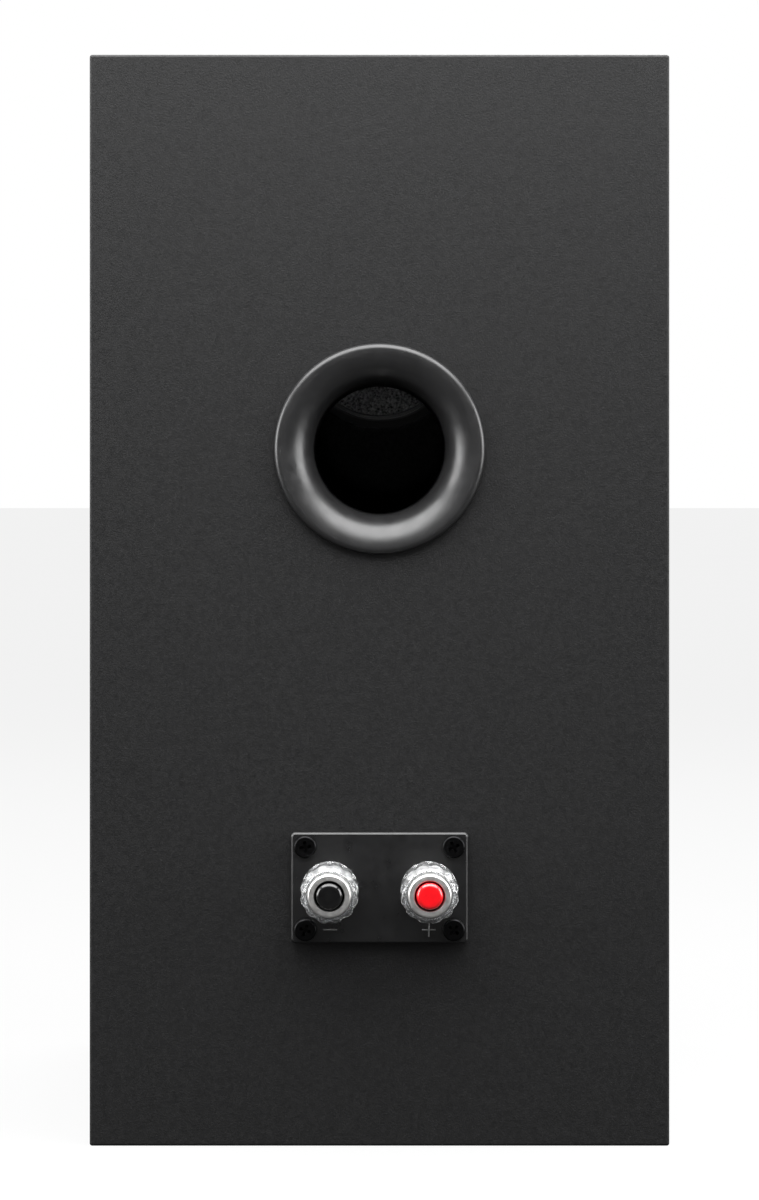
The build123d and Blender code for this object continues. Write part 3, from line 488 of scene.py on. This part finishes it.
def dress_frame(looks):
    """Gives every CAD node the look of its slot."""
    for part in frame["record"]["subparts"]:
        shown = frame["nodes"][part["node"]]
        look = looks[part["material_slot"]]
        for place in shown.material_slots:
            place.material = look
        if not shown.material_slots:
            shown.data.materials.append(look)


# ---------------------------------------------------------------- geometry helpers
ON_AXIS = 1e-7
SHARP_ANGLE = 32              # degrees, the least that shows as an edge


def arc(centre, radius, start, end, steps):
    """Points on a circle's arc in the (radius, depth) plane, angles in degrees."""
    turns = [radians(start + (end - start) * i / steps) for i in range(steps + 1)]
    return [(centre[0] + radius * cos(t), centre[1] + radius * sin(t)) for t in turns]


def turned(name, outline, centre, segments=180, radial=None):
    """A closed outline of (radius, y) points, turned about the line along Y through a centre.

    radial, if given, scales each point's radius by a function of (angle, radius, y).
    """
    builder = bmesh.new()
    rings = []
    for radius, y in outline:
        if radius < ON_AXIS:
            rings.append([builder.verts.new((centre[0], y, centre[2]))] * segments)
            continue
        ring = []
        for i in range(segments):
            angle = 2 * pi * i / segments
            r = radius * radial(angle, radius, y) if radial else radius
            x, z = centre[0] + r * cos(angle), centre[2] + r * sin(angle)
            ring.append(builder.verts.new((x, y, z)))
        rings.append(ring)
    for ring, after in zip(rings, rings[1:] + rings[:1]):
        for i in range(segments):
            j = (i + 1) % segments
            corners = list(dict.fromkeys((ring[i], ring[j], after[j], after[i])))
            if len(corners) > 2:
                builder.faces.new(corners)
    bmesh.ops.recalc_face_normals(builder, faces=builder.faces)
    mesh = bpy.data.meshes.new(name)
    builder.to_mesh(mesh)
    builder.free()
    return finished(name, mesh)


def finished(name, mesh):
    """Links a mesh, smooth except at its sharp edges."""
    mesh.polygons.foreach_set("use_smooth", [True] * len(mesh.polygons))
    mesh.set_sharp_from_angle(angle=radians(SHARP_ANGLE))
    made = bpy.data.objects.new(name, mesh)
    bpy.context.scene.collection.objects.link(made)
    return made


def place_piece(piece, slot, body, *nodes):
    """Finishes a piece: its look, its slot, its body and the CAD nodes that it stands for."""
    piece.data.materials.append(LOOKS[slot])
    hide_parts(*nodes)
    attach(piece, body)


# ---------------------------------------------------------------- port
BORE_R, CREST_R = 20.4 * MM, 30.6 * MM
SOCKET_R, COLLAR_OUTER_R = 22.4 * MM, 24.4 * MM     # what slides over the tube inside
SKIRT_R = 29.2 * MM
THROAT_DEPTH, COLLAR_DEPTH, SKIRT_GAP = 7.6 * MM, 6 * MM, 0.6 * MM


def make_port():
    """The flare with its rounded lip."""
    low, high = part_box("port_flare")
    lip_r = radius_of("port_flare")
    lip = lip_r - CREST_R
    throat = REAR_Y - THROAT_DEPTH
    rise = high[1] - throat
    outline = [
        (CREST_R - (CREST_R - BORE_R) * cos(radians(t)), throat + rise * sin(radians(t)))
        for t in range(0, 91, 3)
    ]
    outline += arc((CREST_R, high[1] - lip), lip, 90, 0, 12)[1:]
    skirt = REAR_Y + SKIRT_GAP
    outline += [
        (lip_r, skirt), (SKIRT_R, skirt), (COLLAR_OUTER_R, REAR_Y - COLLAR_DEPTH),
        (COLLAR_OUTER_R, low[1]), (SOCKET_R, low[1]), (SOCKET_R, throat),
    ]
    flare = turned("flared_port_mouth", outline, PORT, 256)
    place_piece(flare, "port_plastic", "cabinet", "port_flare")


# ---------------------------------------------------------------- terminals
# Radii, and depths out from the plate, in millimetres.
LOBES = 12
LOBE_VALLEY, LOBE_PEAK = 8.45, 8.9
FLANGE_R, FLANGE_END = 8.75, 7.0
KNURL_END, CAP_FRONT = 18.4, 23.6
COLLAR_R, COLLAR_START, COLLAR_SHOULDER = 6.6, 20.7, 0.8
JACKET_BORE_R, JACKET_FRONT = 5.8, COLLAR_START - 0.05
CORE_R, CORE_TEETH, TOOTH_SHARE = 5.72, 24, 0.045
STOPPER_FRONT, STOPPER_R, STOPPER_CROWN = 24.8, 4.0, 1.25


def lobed(angle, radius, y):
    """A radius factor that cuts narrow hollows between broad lobes, one of them at the bottom."""
    if radius < LOBE_VALLEY * 0.97 * MM or y < PLATE_Y + (FLANGE_END + 0.05) * MM:
        return 1.0
    across = abs(cos(LOBES * (angle - pi / 2) / 2))
    return 1 - (1 - LOBE_VALLEY / LOBE_PEAK) * across ** 3


def toothed(angle, radius, y):
    """A radius factor for a fine straight knurl on the insert's outside."""
    saw = abs((angle * CORE_TEETH / pi) % 2 - 1)
    return 1 - TOOTH_SHARE * saw if abs(radius - CORE_R * MM) < 0.01 * MM else 1.0


def out_from_plate(*points):
    """(radius, depth out from the plate) points in millimetres, as (radius, y) in metres."""
    return [(r * MM, PLATE_Y + b * MM) for r, b in points]


def make_jacket(side):
    """The clear jacket: a round flange, lobes and a taper that ends in a small step."""
    steps = 14
    first, end = FLANGE_END + 0.3, KNURL_END
    run = end - 0.6 - first
    outline = out_from_plate(
        (JACKET_BORE_R, JACKET_START), (8.25, JACKET_START), (8.55, JACKET_START + 0.12),
        (FLANGE_R, JACKET_START + 0.45), (FLANGE_R, FLANGE_END - 0.15), (8.6, FLANGE_END),
        (8.5, FLANGE_END + 0.1),
        *[(LOBE_PEAK, first + run * i / steps) for i in range(steps + 1)],
        (8.76, end), (8.45, end + 0.5), (8.05, end + 1.0), (7.68, end + 1.5), (7.4, end + 1.9),
        (7.26, end + 2.1), (7.12, JACKET_FRONT - 0.04), (6.95, JACKET_FRONT),
        (JACKET_BORE_R, JACKET_FRONT),
    )
    jacket = turned(f"{side}_clear_jacket", outline, POSTS[side], 288, lobed)
    place_piece(jacket, "clear_plastic", f"{side}_cap", f"{side}_cap_jacket")


def make_insert(side):
    """The plated insert: knurled where the jacket grips it, with a rounded collar and a flat ring."""
    collar = COLLAR_R - 0.06
    outline = out_from_plate(
        (3.6, 5.4), (6.4, 5.4), (6.4, 5.65), (CORE_R, 5.7),
        *[(CORE_R, 6.5 + i) for i in range(14)],
        (CORE_R, COLLAR_START), (collar, COLLAR_START), (COLLAR_R, COLLAR_START + 0.1),
        *arc((COLLAR_R - COLLAR_SHOULDER, CAP_FRONT - COLLAR_SHOULDER), COLLAR_SHOULDER, 0, 90, 12),
        (4.75, CAP_FRONT), (4.6, CAP_FRONT - 0.15), (4.6, 15.8), (3.6, 15.8),
    )
    insert = turned(f"{side}_plated_insert", outline, POSTS[side], 288, toothed)
    place_piece(insert, "post_nickel", f"{side}_cap", f"{side}_cap_core")


def make_stopper(side):
    """The push-in stopper: a flat face with a rounded shoulder, on its hollow skirt."""
    rim = STOPPER_R - STOPPER_CROWN
    face = [(rim * i / 6, STOPPER_FRONT) for i in range(7)]
    shoulder = arc((rim, STOPPER_FRONT - STOPPER_CROWN), STOPPER_CROWN, 90, 0, 14)[1:]
    outline = out_from_plate(
        *face, *shoulder,
        (STOPPER_R, 18.2), (4.55, 17.7), (4.55, 16.1), (3.05, 16.1), (3.05, 19.8), (0, 19.8),
    )
    plug = turned(f"{side}_round_stopper", outline, POSTS[side], 144)
    slot = "stopper_black" if side == "minus" else "stopper_red"
    place_piece(plug, slot, f"{side}_plug", f"{side}_stopper")


# ---------------------------------------------------------------- parts that flex
def behind_face(*points):
    """(radius, depth behind the baffle's face) points in millimetres, as (radius, y) in metres."""
    return [(r * MM, FRONT_Y + d * MM) for r, d in points]


def half_roll(centre, depth, radius, start, end, steps):
    """Points of a roll that bulges forward, from one angle to another."""
    return [(r, 2 * depth - d) for r, d in arc((centre, depth), radius, start, end, steps)]


def stretch(piece, slot, moving, centre, inner_r, outer_r, node):
    """Gives a ring its look, hides the CAD node that it stands for and bakes its place into its
    points.
    """
    piece.data.materials.append(LOOKS[slot])
    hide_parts(node)
    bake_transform(piece)


def make_woofer_surround():
    """The rubber half-roll with its two landings."""
    outline = behind_face(
        (62.8, 2.3), (62.7, 2.2), (58.3, 2.2),
        *half_roll(53.0, 3.0, 5.0, 11, 169, 40),
        (47.7, 2.2), (45.8, 2.2), (45.7, 2.3), (45.7, 3.0), (48.7, 3.0),
        *half_roll(53.0, 3.0, 4.2, 178, 2, 40),
        (57.3, 3.0), (62.8, 3.0),
    )
    ring = turned("woofer_rubber_surround", outline, WOOFER, 240)
    stretch(ring, "surround_rubber", "woofer_moving_group", WOOFER, 48.5, 57.5, "woofer_surround")


def make_spider():
    """The corrugated suspension: a wavy cloth disc of even thickness."""
    depth, half, swell, pitch = 30.75, 0.24, 1.6, 3.2
    first, last, steps = 14.7, 37.1, 112
    wave = [first + (last - first) * i / steps for i in range(steps + 1)]
    height = [swell * sin(pi * (r - first) / pitch) for r in wave]
    front = [(r, depth - h - half) for r, h in zip(wave, height)]
    back = [(r, depth - h + half) for r, h in zip(wave, height)]
    inner, outer = 13.25, 44.0
    outline = behind_face(
        (inner, depth - half), *front, (outer, depth - half),
        (outer, depth + half), *reversed(back), (inner, depth + half),
    )
    disc = turned("woofer_cloth_spider", outline, WOOFER, 180)
    stretch(disc, "spider_cloth", "woofer_moving_group", WOOFER, 14.7, 37.5, "woofer_spider")


def make_tweeter_surround():
    """The tweeter's small roll and its landing."""
    outline = behind_face(
        (19.8, 8.6), (15.9, 8.6),
        *half_roll(14.3, 9.0, 1.6, 14, 180, 24),
        *half_roll(14.3, 9.0, 1.25, 180, 0, 24),
        (19.8, 9.0),
    )
    ring = turned("tweeter_silk_surround", outline, TWEETER, 180)
    stretch(ring, "dome_silk", "tweeter_moving_group", TWEETER, 12.8, 15.7, "tweeter_surround")


# ---------------------------------------------------------------- soft pieces
PAD_DENTS, PAD_PITCH, PAD_EDGE = 0.35 * MM, 0.9 * MM, 1.1 * MM
PAD_RINGS = 44
WADDING_DENTS, WADDING_PITCH, WADDING_VOXEL = 1.6 * MM, 7 * MM, 2.5 * MM


def roughen(piece, depth, pitch):
    """Moves each point in along its normal by two octaves of noise, for a matted surface."""
    mesh = piece.data
    moved = []
    for vertex in mesh.vertices:
        place = vertex.co / pitch
        inward = (noise.noise(place) + 0.5 * noise.noise(place * 2.7) + 1.2) / 2.7
        moved.append(vertex.co - vertex.normal * depth * min(max(inward, 0), 1))
    for vertex, place in zip(mesh.vertices, moved):
        vertex.co = place


def make_felt_pad():
    """The speckled felt disc on the back of the tweeter, with a matted face and a soft edge."""
    node = "tweeter_felt_pad"
    low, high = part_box(node)
    radius = radius_of(node)
    flat = radius - PAD_EDGE
    back = [(flat * i / PAD_RINGS, high[1]) for i in range(PAD_RINGS + 1)]
    rounded = arc((flat, high[1] - PAD_EDGE), PAD_EDGE, 90, 0, 6)[1:]
    outline = [*back, *rounded, (radius, low[1]), (0, low[1])]
    pad = turned("tweeter_felt_disc", outline, centre_of(node), 240)
    roughen(pad, PAD_DENTS, PAD_PITCH)
    place_piece(pad, "felt_grey", "cabinet", node)


def make_wadding():
    """The wadding on the walls: the CAD slabs remeshed and matted, a little slimmer."""
    source = frame["nodes"]["wall_wadding"]
    wadding = bpy.data.objects.new("matted_wall_wadding", source.data.copy())
    wadding.data.materials.clear()
    bpy.context.scene.collection.objects.link(wadding)
    remesh = wadding.modifiers.new("remesh", "REMESH")
    remesh.mode = "VOXEL"
    remesh.voxel_size = WADDING_VOXEL
    baked = wadding.evaluated_get(bpy.context.evaluated_depsgraph_get())
    wadding.data = bpy.data.meshes.new_from_object(baked)
    wadding.modifiers.clear()
    wadding.data.polygons.foreach_set("use_smooth", [True] * len(wadding.data.polygons))
    roughen(wadding, WADDING_DENTS, WADDING_PITCH)
    # its near-black felt is painted shade for the unlit inside of the cabinet
    place_piece(wadding, "felt_dark", "cabinet", "wall_wadding")


# ---------------------------------------------------------------- the whole object
LOOKS = make_looks()
dress_frame(LOOKS)
make_camera()
make_world()
make_lights()
make_floor()
make_port()
for side in POSTS:
    make_jacket(side)
    make_insert(side)
    make_stopper(side)
make_woofer_surround()
make_spider()
make_tweeter_surround()
make_felt_pad()
make_wadding()
